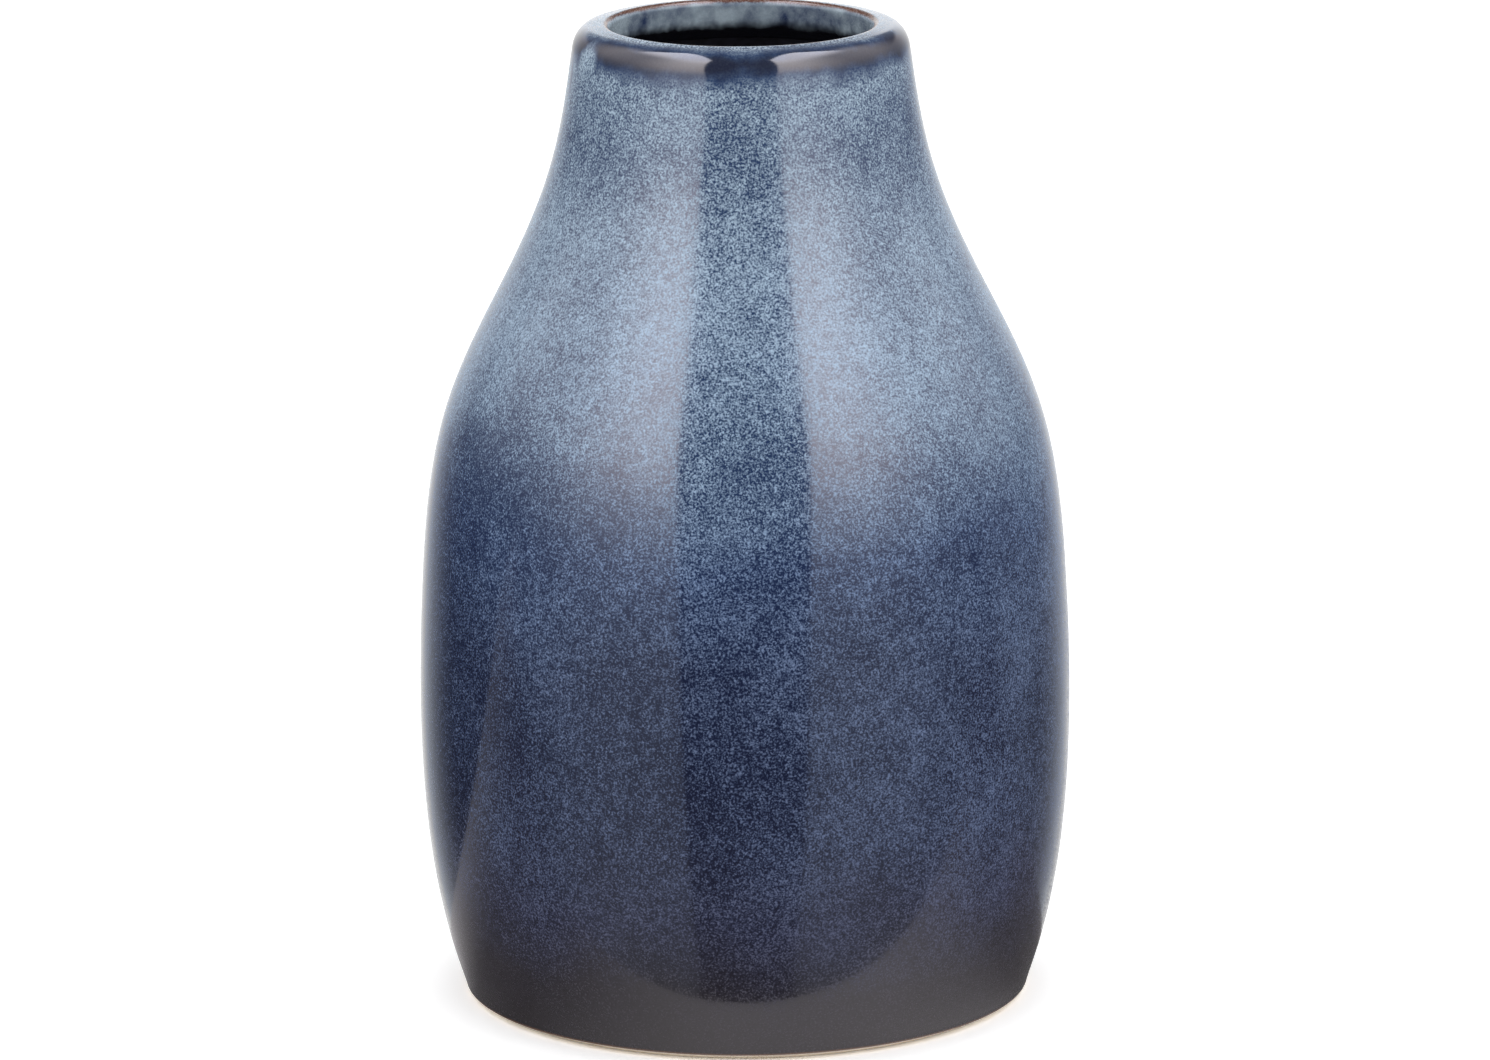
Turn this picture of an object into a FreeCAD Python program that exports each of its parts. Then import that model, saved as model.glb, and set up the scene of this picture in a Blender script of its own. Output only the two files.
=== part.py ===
"""Stoneware vase: a round pot with a short neck and a dry foot ring, and the glaze coats fired onto it.

Frame: millimetres, +Z up, origin at the centre of the foot on the table. Every piece is turned about Z.
The coats lie on each other in this order, from the clay outwards: the dark base coat, then the blue coat.
Each coat's inner face is drawn with the same numbers as the face it lies on, so the two meet exactly.
"""
import FreeCAD
import Part
import math
import os

import Sketcher

doc = FreeCAD.newDocument("stoneware_vase")
sheet = doc.addObject("Spreadsheet::Sheet", "dims")

# Driving dimensions, in millimetres and degrees.
DIMENSIONS = {
    "vase_height": 200.0,
    # the finished surface's outline: control points of one cubic curve, from the glaze line up to the lip.
    # The curve starts on the first and ends on the last; the others stand off it and pull it towards them.
    "glaze_line_radius": 57.5,
    "glaze_line_height": 1.2,
    "heel_pull_radius": 63.0,
    "heel_pull_height": 16.0,
    "low_belly_pull_radius": 67.0,
    "low_belly_pull_height": 45.0,
    "high_belly_pull_radius": 66.0,
    "high_belly_pull_height": 85.0,
    "shoulder_pull_radius": 63.0,
    "shoulder_pull_height": 120.0,
    "slope_pull_radius": 49.0,
    "slope_pull_height": 146.0,
    "neck_pull_radius": 36.4,
    "neck_pull_height": 172.0,
    "lip_pull_radius": 34.0,
    "lip_pull_height": 196.0,
    "lip_radius": 33.7,
    # the lip: its top falls outwards from the crest around the mouth
    "mouth_radius": 26.3,
    "lip_slope": 7.1,
    "lip_outer_round": 2.9,
    "lip_inner_round": 1.3,
    # the hollow in the clay: control points of one cubic curve, from the throat down to the floor
    "throat_radius": 28.0,
    "throat_height": 192.0,
    "inner_neck_pull_radius": 29.0,
    "inner_neck_pull_height": 180.0,
    "inner_slope_pull_radius": 33.0,
    "inner_slope_pull_height": 162.0,
    "inner_shoulder_pull_radius": 48.0,
    "inner_shoulder_pull_height": 138.0,
    "inner_high_belly_pull_radius": 57.0,
    "inner_high_belly_pull_height": 110.0,
    "inner_belly_pull_radius": 60.0,
    "inner_belly_pull_height": 80.0,
    "inner_low_belly_pull_radius": 60.5,
    "inner_low_belly_pull_height": 42.0,
    "inner_heel_pull_radius": 57.0,
    "inner_heel_pull_height": 14.5,
    "floor_edge_pull_radius": 42.0,
    "floor_height": 8.5,
    # the foot: a dry ring around a shallow recess
    "ring_outer_radius": 55.4,
    "ring_inner_radius": 50.5,
    "recess_radius": 49.0,
    "recess_height": 2.5,
    "ring_round": 0.4,
    # the glaze coats
    "base_coat": 0.4,
    "base_coat_edge_round": 0.3,
    "blue_coat": 0.35,
    "blue_edge_height": 30.0,
    "blue_edge_round": 0.15,
    "blue_mouth_edge_height": 195.0,
    "blue_mouth_edge_coat": 0.15,
    "liner_coat": 0.4,
    "recess_coat": 0.4,
}

# How much of the blue coat's full thickness lies at each control point of the outline.
OUTLINE_POINTS = (
    ("glaze_line", 0.3),
    ("heel_pull", 0.5),
    ("low_belly_pull", 1.0),
    ("high_belly_pull", 1.0),
    ("shoulder_pull", 1.0),
    ("slope_pull", 1.0),
    ("neck_pull", 1.0),
    ("lip_pull", 1.0),
)
HOLLOW_POINTS = (
    "throat",
    "inner_neck_pull",
    "inner_slope_pull",
    "inner_shoulder_pull",
    "inner_high_belly_pull",
    "inner_belly_pull",
    "inner_low_belly_pull",
    "inner_heel_pull",
)
DEGREE = 3


def fill_sheet():
    for row, (alias, value) in enumerate(DIMENSIONS.items(), start=1):
        sheet.set(f"A{row}", alias)
        sheet.set(f"B{row}", str(value))
        sheet.setAlias(f"B{row}", alias)
    doc.recompute()


class Size:
    """A length: its value now, and its formula over the sheet's cells, which drives the model."""

    def __init__(self, value, formula):
        self.value = value
        self.formula = formula

    def __add__(self, other):
        return Size(self.value + other.value, f"{self.formula} + {other.formula}")

    def __sub__(self, other):
        return Size(self.value - other.value, f"{self.formula} - ({other.formula})")

    def times(self, factor):
        return Size(self.value * factor, f"({self.formula}) * {factor}")


def cell(alias):
    return Size(DIMENSIONS[alias], f"dims.{alias}")


ZERO = Size(0.0, "0")
SLOPE = "dims.lip_slope * 1deg"


def crest_corner_height():
    """Height of the sharp mouth corner whose rounded crest stands at the vase's height."""
    slope = math.radians(DIMENSIONS["lip_slope"])
    rise = DIMENSIONS["lip_inner_round"] * (math.tan(slope) + 1 / math.cos(slope) - 1)
    formula = f"dims.lip_inner_round * (tan({SLOPE}) + 1 / cos({SLOPE}) - 1)"
    return cell("vase_height") + Size(rise, formula)


def lip_corner_height():
    """Height of the lip's sharp outer corner, down the slope from the mouth corner."""
    width = DIMENSIONS["lip_radius"] - DIMENSIONS["mouth_radius"]
    fall = math.tan(math.radians(DIMENSIONS["lip_slope"])) * width
    return crest_corner_height() - Size(fall, f"tan({SLOPE}) * (dims.lip_radius - dims.mouth_radius)")


def outline(base_depth, blue_depth):
    """Control points of an outer face, foot to lip, that lies under base_depth and blue_depth of glaze."""
    points = []
    for name, share in OUTLINE_POINTS:
        radius = cell(f"{name}_radius") - base_depth - blue_depth.times(share)
        points.append((radius, cell(f"{name}_height")))
    depth = base_depth + blue_depth
    points.append((cell("lip_radius") - depth, lip_corner_height() - depth))
    return points


def mouth_corner(depth):
    """The sharp corner between the lip's top and the mouth, under a depth of glaze."""
    return (cell("mouth_radius") + depth, crest_corner_height() - depth)


def throat(depth):
    """Lower end of the mouth's straight wall, on a face raised from the clay by depth."""
    return (cell("throat_radius") - depth, cell("throat_height"))


def hollow(depth):
    """Control points of the hollow's face, throat to floor centre, raised from the clay by depth."""
    points = [(cell(f"{name}_radius") - depth, cell(f"{name}_height")) for name in HOLLOW_POINTS]
    points.append((cell("floor_edge_pull_radius"), cell("floor_height") + depth))
    points.append((ZERO, cell("floor_height") + depth))
    return points


def new_body(label):
    body = doc.addObject("PartDesign::Body", label)
    body.Label = label
    body.Placement = FreeCAD.Placement()
    return body


def new_sketch(body, name):
    """A sketch on the body's own XZ plane: radius to the right, height up."""
    plane = next(feature for feature in body.Origin.OriginFeatures if feature.Role == "XZ_Plane")
    sketch = body.newObject("Sketcher::SketchObject", name)
    sketch.AttachmentSupport = [(plane, "")]
    sketch.MapMode = "FlatFace"
    return sketch


def hold(sketch, geometry, end, point, name):
    """Dimensions one point of the sketch from the origin, with the sheet's formulas."""
    for kind, axis, size in (("DistanceX", -2, point[0]), ("DistanceY", -1, point[1])):
        if size is ZERO:
            sketch.addConstraint(Sketcher.Constraint("PointOnObject", geometry, end, axis))
            continue
        index = sketch.addConstraint(Sketcher.Constraint(kind, -1, 1, geometry, end, size.value))
        sketch.renameConstraint(index, f"{name}_{'radius' if axis == -2 else 'height'}")
        sketch.setExpression(f"Constraints.{sketch.Constraints[index].Name}", size.formula)


def vector(point):
    return FreeCAD.Vector(point[0].value, point[1].value, 0)


def add_curve(sketch, points, name):
    """A clamped cubic curve over its control points, each held by two dimensions."""
    spans = len(points) - DEGREE
    knots = [span / spans for span in range(spans + 1)]
    repeats = [DEGREE + 1] + [1] * (spans - 1) + [DEGREE + 1]
    curve = Part.BSplineCurve()
    curve.buildFromPolesMultsKnots([vector(point) for point in points], repeats, knots, False, DEGREE)
    index = sketch.addGeometry(curve, False)
    sketch.exposeInternalGeometry(index)
    for number, point in enumerate(points):
        hold(sketch, index + 1 + number, 3, point, f"{name}_{number}")
    return index


def add_line(sketch, start, end):
    return sketch.addGeometry(Part.LineSegment(vector(start), vector(end)), False)


def close_ring(sketch, pieces):
    """Joins the ends of the pieces, (geometry, start end, finish end), in order into one closed ring."""
    for (first, _, finish), (second, start, _) in zip(pieces, pieces[1:] + pieces[:1]):
        sketch.addConstraint(Sketcher.Constraint("Coincident", first, finish, second, start))


def revolve(body, sketch, name):
    revolution = body.newObject("PartDesign::Revolution", name)
    revolution.Profile = sketch
    revolution.ReferenceAxis = (sketch, ["V_Axis"])
    revolution.Angle = 360.0
    sketch.Visibility = False
    doc.recompute()
    return revolution


def ring_edges(shape):
    """Name, radius and height of every circular edge around Z."""
    for number, edge in enumerate(shape.Edges, start=1):
        if edge.isClosed() and not edge.Degenerated:
            point = edge.Vertexes[0].Point
            yield f"Edge{number}", math.hypot(point.x, point.y), point.z


def round_corner(body, base, corner, size, name):
    """Rounds the circular edge that a corner of the section sweeps out."""
    radius, height = corner[0].value, corner[1].value
    names = [edge for edge, r, z in ring_edges(base.Shape) if math.hypot(r - radius, z - height) < 0.01]
    if len(names) != 1:
        raise RuntimeError(f"{name}: {len(names)} edges at radius {radius:.2f}, height {height:.2f}")
    fillet = body.newObject("PartDesign::Fillet", name)
    fillet.Base = (base, names)
    fillet.Radius = size.value
    fillet.setExpression("Radius", size.formula)
    doc.recompute()
    return fillet


def round_lip(body, base, outer_corner, inner_corner, depth):
    """Rounds the lip's two corners on a face that lies under a depth of glaze."""
    shape = round_corner(body, base, outer_corner, cell("lip_outer_round") - depth, "lip_round")
    return round_corner(body, shape, inner_corner, cell("lip_inner_round") - depth, "mouth_round")


def make_clay():
    """The fired pot: wall, floor, thick lip and the dry foot ring around a recess."""
    body = new_body("stoneware_body")
    sketch = new_sketch(body, "clay_section")
    depth = cell("base_coat") + cell("blue_coat")
    outside = outline(cell("base_coat"), cell("blue_coat"))
    inside = hollow(ZERO)
    mouth = mouth_corner(depth)
    floor_centre = (ZERO, cell("recess_height"))
    recess_corner = (cell("recess_radius"), cell("recess_height"))
    ring_inner = (cell("ring_inner_radius"), ZERO)
    ring_outer = (cell("ring_outer_radius"), ZERO)
    outer_curve = add_curve(sketch, outside, "outside")
    lip_top = add_line(sketch, outside[-1], mouth)
    mouth_wall = add_line(sketch, mouth, inside[0])
    inner_curve = add_curve(sketch, inside, "inside")
    axis = add_line(sketch, inside[-1], floor_centre)
    recess_top = add_line(sketch, floor_centre, recess_corner)
    recess_wall = add_line(sketch, recess_corner, ring_inner)
    ring_face = add_line(sketch, ring_inner, ring_outer)
    bevel = add_line(sketch, ring_outer, outside[0])
    ring = [outer_curve, lip_top, mouth_wall, inner_curve, axis, recess_top, recess_wall, ring_face, bevel]
    close_ring(sketch, [(piece, 1, 2) for piece in ring])
    hold(sketch, lip_top, 2, mouth, "mouth")
    hold(sketch, recess_top, 1, floor_centre, "floor_centre")
    hold(sketch, recess_top, 2, recess_corner, "recess")
    hold(sketch, ring_face, 1, ring_inner, "ring_inner")
    hold(sketch, ring_face, 2, ring_outer, "ring_outer")
    shape = revolve(body, sketch, "turned_pot")
    shape = round_lip(body, shape, outside[-1], mouth, depth)
    shape = round_corner(body, shape, ring_inner, cell("ring_round"), "ring_inner_edge")
    round_corner(body, shape, ring_outer, cell("ring_round"), "ring_outer_edge")
    return body


def make_base_coat():
    """The dark coat outside, from the glaze line over the lip to where the liner starts in the throat."""
    body = new_body("outer_base_glaze")
    sketch = new_sketch(body, "base_coat_section")
    clay_depth = cell("base_coat") + cell("blue_coat")
    clay_face = outline(cell("base_coat"), cell("blue_coat"))
    clay_mouth = mouth_corner(clay_depth)
    clay_throat = throat(ZERO)
    face = outline(ZERO, cell("blue_coat"))
    mouth = mouth_corner(cell("blue_coat"))
    coat_throat = throat(cell("base_coat"))
    clay_curve = add_curve(sketch, clay_face, "clay")
    clay_lip = add_line(sketch, clay_face[-1], clay_mouth)
    clay_wall = add_line(sketch, clay_mouth, clay_throat)
    seam = add_line(sketch, clay_throat, coat_throat)
    coat_wall = add_line(sketch, coat_throat, mouth)
    coat_lip = add_line(sketch, mouth, face[-1])
    coat_curve = add_curve(sketch, face, "coat")
    glaze_line = add_line(sketch, face[0], clay_face[0])
    forward = [(piece, 1, 2) for piece in (clay_curve, clay_lip, clay_wall, seam, coat_wall, coat_lip)]
    close_ring(sketch, forward + [(coat_curve, 2, 1), (glaze_line, 1, 2)])
    hold(sketch, clay_lip, 2, clay_mouth, "clay_mouth")
    hold(sketch, clay_wall, 2, clay_throat, "clay_throat")
    hold(sketch, seam, 2, coat_throat, "coat_throat")
    hold(sketch, coat_wall, 2, mouth, "coat_mouth")
    shape = revolve(body, sketch, "base_coat_shell")
    shape = round_lip(body, shape, clay_face[-1], clay_mouth, clay_depth)
    shape = round_lip(body, shape, face[-1], mouth, cell("blue_coat"))
    round_corner(body, shape, face[0], cell("base_coat_edge_round"), "glaze_line_edge")
    return body


def make_blue_coat():
    """The blue coat over the base coat, from the lower belly over the lip and a little way into the mouth."""
    body = new_body("blue_top_glaze")
    sketch = new_sketch(body, "blue_coat_section")
    under_face = outline(ZERO, cell("blue_coat"))
    under_mouth = mouth_corner(cell("blue_coat"))
    face = outline(ZERO, ZERO)
    mouth = mouth_corner(ZERO)
    base_throat = throat(cell("base_coat"))
    edge_height = cell("blue_mouth_edge_height")
    run = (under_mouth[1].value - edge_height.value) / (under_mouth[1].value - base_throat[1].value)
    edge_radius = under_mouth[0].value + run * (base_throat[0].value - under_mouth[0].value)
    edge_inner = (Size(edge_radius, ""), edge_height)
    edge_outer = (Size(edge_radius - DIMENSIONS["blue_mouth_edge_coat"], ""), edge_height)
    under_curve = add_curve(sketch, under_face, "under")
    under_lip = add_line(sketch, under_face[-1], under_mouth)
    under_wall = add_line(sketch, under_mouth, edge_inner)
    edge = add_line(sketch, edge_inner, edge_outer)
    coat_wall = add_line(sketch, edge_outer, mouth)
    coat_lip = add_line(sketch, mouth, face[-1])
    coat_curve = add_curve(sketch, face, "coat")
    foot_edge = add_line(sketch, face[0], under_face[0])
    forward = [(piece, 1, 2) for piece in (under_curve, under_lip, under_wall, edge, coat_wall, coat_lip)]
    close_ring(sketch, forward + [(coat_curve, 2, 1), (foot_edge, 1, 2)])
    hold(sketch, under_lip, 2, under_mouth, "under_mouth")
    hold(sketch, coat_wall, 2, mouth, "coat_mouth")
    # the blue coat ends on the base coat's straight mouth wall, which runs on down to the throat
    throat_mark = sketch.addGeometry(Part.Point(vector(base_throat)), True)
    hold(sketch, throat_mark, 1, base_throat, "base_throat")
    sketch.addConstraint(Sketcher.Constraint("PointOnObject", throat_mark, 1, under_wall))
    sketch.addConstraint(Sketcher.Constraint("Horizontal", edge))
    rise = sketch.addConstraint(Sketcher.Constraint("DistanceY", -1, 1, edge, 1, edge_height.value))
    sketch.setExpression(f"Constraints[{rise}]", edge_height.formula)
    width = cell("blue_mouth_edge_coat")
    thickness = sketch.addConstraint(Sketcher.Constraint("DistanceX", edge, 2, edge, 1, width.value))
    sketch.setExpression(f"Constraints[{thickness}]", width.formula)
    shape = revolve(body, sketch, "blue_coat_shell")
    shape = round_lip(body, shape, under_face[-1], under_mouth, cell("blue_coat"))
    round_lip(body, shape, face[-1], mouth, ZERO)
    trim_blue_coat(body)
    return body


def trim_blue_coat(body):
    """Takes the blue coat away below the height where it ends on the lower belly."""
    sketch = new_sketch(body, "blue_coat_end")
    reach = cell("high_belly_pull_radius").times(1.2)
    top = cell("blue_edge_height")
    corners = [(ZERO, ZERO), (reach, ZERO), (reach, top), (ZERO, top)]
    sides = [add_line(sketch, start, end) for start, end in zip(corners, corners[1:] + corners[:1])]
    close_ring(sketch, [(side, 1, 2) for side in sides])
    for side, corner, name in zip(sides, corners, ("origin", "reach", "edge", "axis")):
        hold(sketch, side, 1, corner, name)
    before = body.Shape.Volume
    groove = body.newObject("PartDesign::Groove", "blue_coat_trim")
    groove.Profile = sketch
    groove.ReferenceAxis = (sketch, ["V_Axis"])
    groove.Angle = 360.0
    doc.recompute()
    if groove.Shape.Volume >= before:
        raise RuntimeError("the blue coat's lower end wasn't trimmed")
    height = DIMENSIONS["blue_edge_height"]
    outer_edge = max((r, edge) for edge, r, z in ring_edges(groove.Shape) if abs(z - height) < 0.01)[1]
    fillet = body.newObject("PartDesign::Fillet", "blue_coat_edge")
    fillet.Base = (groove, [outer_edge])
    fillet.Radius = DIMENSIONS["blue_edge_round"]
    fillet.setExpression("Radius", "dims.blue_edge_round")
    doc.recompute()


def make_liner():
    """The dark coat inside, from the throat down over the floor."""
    body = new_body("liner_glaze")
    sketch = new_sketch(body, "liner_section")
    clay_face = hollow(ZERO)
    face = hollow(cell("liner_coat"))
    clay_curve = add_curve(sketch, clay_face, "clay")
    axis = add_line(sketch, clay_face[-1], face[-1])
    coat_curve = add_curve(sketch, face, "coat")
    seam = add_line(sketch, face[0], clay_face[0])
    close_ring(sketch, [(clay_curve, 1, 2), (axis, 1, 2), (coat_curve, 2, 1), (seam, 1, 2)])
    revolve(body, sketch, "liner_shell")
    return body


def make_recess_coat():
    """The thin coat under the floor, inside the dry foot ring."""
    body = new_body("foot_recess_glaze")
    sketch = new_sketch(body, "recess_coat_section")
    top = cell("recess_height")
    bottom = top - cell("recess_coat")
    corners = [(ZERO, bottom), (cell("recess_radius"), bottom), (cell("recess_radius"), top), (ZERO, top)]
    sides = [add_line(sketch, start, end) for start, end in zip(corners, corners[1:] + corners[:1])]
    close_ring(sketch, [(side, 1, 2) for side in sides])
    for side, corner, name in zip(sides, corners, ("bottom_centre", "bottom_edge", "top_edge", "top_centre")):
        hold(sketch, side, 1, corner, name)
    revolve(body, sketch, "recess_coat_disc")
    return body


def check_document():
    """Stops on any object that failed to build or shape that isn't a valid solid."""
    for item in doc.Objects:
        if "Invalid" in item.State or "Error" in item.State:
            raise RuntimeError(f"{item.Name} failed: {item.State}")
    for body in bodies:
        if body.Shape.isNull() or not body.Shape.isValid() or len(body.Shape.Solids) != 1:
            raise RuntimeError(f"{body.Label} isn't one valid solid")


def export_parts():
    os.makedirs("parts", exist_ok=True)
    for body in bodies:
        body.Shape.exportStep(f"parts/{body.Label}.step")
        box = body.Shape.optimalBoundingBox()
        print(f"{body.Label}: {body.Shape.Volume / 1000:.2f} cm3, z {box.ZMin:.2f} to {box.ZMax:.2f}")


fill_sheet()
bodies = [make_clay(), make_base_coat(), make_blue_coat(), make_liner(), make_recess_coat()]
doc.recompute()
check_document()
export_parts()
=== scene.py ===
"""Looks of the stoneware vase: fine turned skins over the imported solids, with a speckled reactive glaze."""
import math

import bmesh
import bpy
import numpy as np
from mathutils import Matrix, Vector, noise


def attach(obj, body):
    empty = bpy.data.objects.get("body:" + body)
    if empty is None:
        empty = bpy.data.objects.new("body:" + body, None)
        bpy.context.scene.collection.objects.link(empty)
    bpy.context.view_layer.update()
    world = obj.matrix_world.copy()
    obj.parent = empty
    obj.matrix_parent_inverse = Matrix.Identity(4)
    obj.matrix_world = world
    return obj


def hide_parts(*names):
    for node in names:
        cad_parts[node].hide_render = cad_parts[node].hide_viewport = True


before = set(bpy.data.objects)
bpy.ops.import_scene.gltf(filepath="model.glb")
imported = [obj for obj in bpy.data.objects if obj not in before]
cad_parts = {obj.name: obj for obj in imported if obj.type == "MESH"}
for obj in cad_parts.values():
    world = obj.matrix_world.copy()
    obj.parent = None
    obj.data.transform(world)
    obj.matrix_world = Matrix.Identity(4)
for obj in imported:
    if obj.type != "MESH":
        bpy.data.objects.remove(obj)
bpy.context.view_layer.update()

MM = 0.001
TAU = 2 * math.pi

# Lengths are in millimetres unless a comment says otherwise.
# The finished outside, as the design draws it: control points (radius, height).
OUTLINE = (
    (57.5, 1.2), (63.0, 16.0), (67.0, 45.0), (66.0, 85.0),
    (63.0, 120.0), (49.0, 146.0), (36.4, 172.0), (34.0, 196.0), (33.7, 199.25),
)
MOUTH_CORNER = (26.3, 200.17)
THROAT = (27.25, 192.0)
# The lip's outer corner is an ellipse: how far down the side it starts, and how far in on the top it ends.
LIP_DROP = 4.6
LIP_REACH = 3.2
LIP_STEPS = 18
LIP_INNER_ROUND = 1.3
CREST_STEPS = 12
# The hollow in the clay, from the throat down to the middle of the floor.
HOLLOW = (
    (28.0, 192.0), (29.0, 180.0), (33.0, 162.0), (48.0, 138.0), (57.0, 110.0),
    (60.0, 80.0), (60.5, 42.0), (57.0, 14.5), (42.0, 8.5), (0.0, 8.5),
)
GLAZE_LINE = 1.2
RING_OUTER = 55.4
RING_INNER = 50.5
RING_BEVEL = 0.25
RING_OUTER_EDGE = 0.35
RING_INNER_EDGE = 0.3
RING_GRIT = 0.05
GRIT_ROUND = 30
GRIT_UP = 2
RECESS_RADIUS = 49.0
RECESS_HEIGHT = 2.5

BASE_COAT = 0.4
BLUE_COAT = 0.35
LINER_COAT = 0.4
RECESS_COAT = 0.4
RECESS_COAT_ROUND = (0.4, 0.1)
BEAD_ANGLES = (0, 25, 50, 75)
BLUE_START = 25.0
BLUE_FULL = 48.0
BLUE_MOUTH_END = 193.0
BLUE_MOUTH_FADE = 4.0
THINNEST_SHARE = 0.03

# The fired face's unevenness, in layers: how busy round, how long up, where the pattern starts, how high.
RIPPLES = ((1.6, 40, 0, 0.05), (7.0, 9, 5, 0.012), (16.0, 4, 11, 0.004))
RIPPLE_SHIFT = -0.066
RIPPLE_FULL = 5.0
LIP_CALM = (194, 198)
LIP_CALM_SHARE = 0.6

SEGMENTS = 320
ROW_STEP = 1.0
LIP_ROW_STEP = 0.6
HOLLOW_STEP = 2.0
# Hidden faces keep the first and the last row, and between them one row in so many.
COVERED_STEP = 2
BACK_STEP = 3
BLUE_BACK_STEP = 4
TINY = 1e-6
JUST_UNDER_ONE = 1 - 1e-9
# the share of the unwrap's height that a band of hidden surface gets
HIDDEN_SHARE = 0.05
SHARP_ANGLE = math.radians(50)


# ---- section lines -------------------------------------------------------------------------------

def cubic(points, samples=2400):
    """Points along the clamped uniform cubic B-spline with these control points."""
    control = np.array(points, float)
    spans = len(control) - 3
    knots = np.concatenate([np.zeros(3), np.linspace(0, 1, spans + 1), np.ones(3)])
    at = np.linspace(0, JUST_UNDER_ONE, samples)
    basis = [np.where((at >= low) & (at < high), 1.0, 0.0) for low, high in zip(knots, knots[1:])]
    for degree in (1, 2, 3):
        raised = []
        for i in range(len(basis) - 1):
            value = np.zeros(samples)
            rise = knots[i + degree] - knots[i]
            fall = knots[i + degree + 1] - knots[i + 1]
            if rise > 0:
                value += (at - knots[i]) / rise * basis[i]
            if fall > 0:
                value += (knots[i + degree + 1] - at) / fall * basis[i + 1]
            raised.append(value)
        basis = raised
    return np.stack(basis, 1) @ control


def directions(before, corner, after):
    """Unit directions from the corner: back the way the line came, and ahead the way it goes."""
    back = np.array(before, float) - corner
    ahead = np.array(after, float) - corner
    return back / np.linalg.norm(back), ahead / np.linalg.norm(ahead)


def rounded(before, corner, after, radius, steps):
    """The arc that rounds the corner between two straight directions."""
    back, ahead = directions(before, corner, after)
    half = math.acos(back @ ahead) / 2
    centre = corner + (back + ahead) / np.linalg.norm(back + ahead) * radius / math.sin(half)
    start = corner + back * radius / math.tan(half) - centre
    end = corner + ahead * radius / math.tan(half) - centre
    turn = math.pi - 2 * half
    at = np.linspace(0, 1, steps)[:, None]
    return centre + (np.sin((1 - at) * turn) * start + np.sin(at * turn) * end) / math.sin(turn)


def eased(before, corner, after, back_length, ahead_length, steps):
    """The elliptic arc that rounds the corner, leaving each straight direction at its own length from it."""
    back, ahead = directions(before, corner, after)
    turn = np.linspace(0, math.pi / 2, steps)[:, None]
    return corner + (1 - np.sin(turn)) * back_length * back + (1 - np.cos(turn)) * ahead_length * ahead


def spaced(line, step):
    """The same line with its points an even step apart."""
    line = np.array(line, float)
    run = np.concatenate([[0], np.cumsum(np.linalg.norm(np.diff(line, axis=0), axis=1))])
    at = np.linspace(0, run[-1], max(2, round(run[-1] / step) + 1))
    return np.stack([np.interp(at, run, line[:, 0]), np.interp(at, run, line[:, 1])], 1)


def thinned(rows, step):
    """Every so many rows, always with the first and the last."""
    rows = list(rows)
    return rows[:-1:step] + rows[-1:]


def smoothstep(low, high, value):
    share = np.clip((value - low) / (high - low), 0, 1)
    return share * share * (3 - 2 * share)


def finished_face():
    """Section of the glaze's finished face: up the outside, over the lip and down into the throat."""
    side = cubic(OUTLINE)
    lip = eased(side[-2], OUTLINE[-1], MOUTH_CORNER, LIP_DROP, LIP_REACH, LIP_STEPS)
    crest = rounded(OUTLINE[-1], MOUTH_CORNER, THROAT, LIP_INNER_ROUND, CREST_STEPS)
    side = side[side[:, 1] < lip[0, 1]]
    side = side[side[:, 1] > GLAZE_LINE + BASE_COAT]
    top = spaced([lip[-1], crest[0]], LIP_ROW_STEP)[1:-1]
    throat = spaced([crest[-1], THROAT], LIP_ROW_STEP)[1:]
    return np.concatenate([spaced(side, ROW_STEP)[:-1], lip, top, crest, throat])


FACE = finished_face()
ALONG = np.gradient(FACE, axis=0)
NORMALS = np.stack([ALONG[:, 1], -ALONG[:, 0]], 1) / np.linalg.norm(ALONG, axis=1)[:, None]
CREST_ROW = int(np.argmax(FACE[:, 1]))
ROWS = range(len(FACE))


def blue_depth():
    """Thickness of the blue coat along the finished face: almost none at the foot, full from the belly up."""
    outside = smoothstep(BLUE_START, BLUE_FULL, FACE[:, 1])
    inside = smoothstep(BLUE_MOUTH_END, BLUE_MOUTH_END + BLUE_MOUTH_FADE, FACE[:, 1])
    share = np.where(np.arange(len(FACE)) <= CREST_ROW, outside, inside)
    return BLUE_COAT * np.maximum(share, THINNEST_SHARE)


BLUE_DEPTH = blue_depth()
CLAY_DEPTH = BASE_COAT + BLUE_DEPTH


# ---- turned meshes -------------------------------------------------------------------------------

ANGLES = np.arange(SEGMENTS) / SEGMENTS * TAU
COS = np.cos(ANGLES)
SIN = np.sin(ANGLES)


def ripple(angle, height):
    """How far the fired face stands off the turned one: slow unevenness, and the glaze's shallow waves."""
    x, y = math.cos(angle), math.sin(angle)
    layers = [
        size * noise.noise(Vector((x * busy, y * busy, height / rise + start)))
        for busy, rise, start, size in RIPPLES
    ]
    return sum(layers) + RIPPLE_SHIFT


def ripple_rows():
    """The ripple at each point of each row of the finished face, faded out at the foot, eased at the lip."""
    fade = smoothstep(GLAZE_LINE, RIPPLE_FULL, FACE[:, 1])
    fade *= 1 - LIP_CALM_SHARE * smoothstep(*LIP_CALM, FACE[:, 1])
    rows = [[ripple(angle, height) for angle in ANGLES] for height in FACE[:, 1]]
    return np.array(rows) * fade[:, None]


RIPPLE_ROWS = ripple_rows()


def face_ring(row, depth=0.0):
    """A ring of the finished face, or of the layer that lies this deep under it."""
    shift = RIPPLE_ROWS[row] - depth
    radius = FACE[row, 0] + shift * NORMALS[row, 0]
    height = FACE[row, 1] + shift * NORMALS[row, 1]
    return np.stack([radius * COS, radius * SIN, height], 1)


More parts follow.
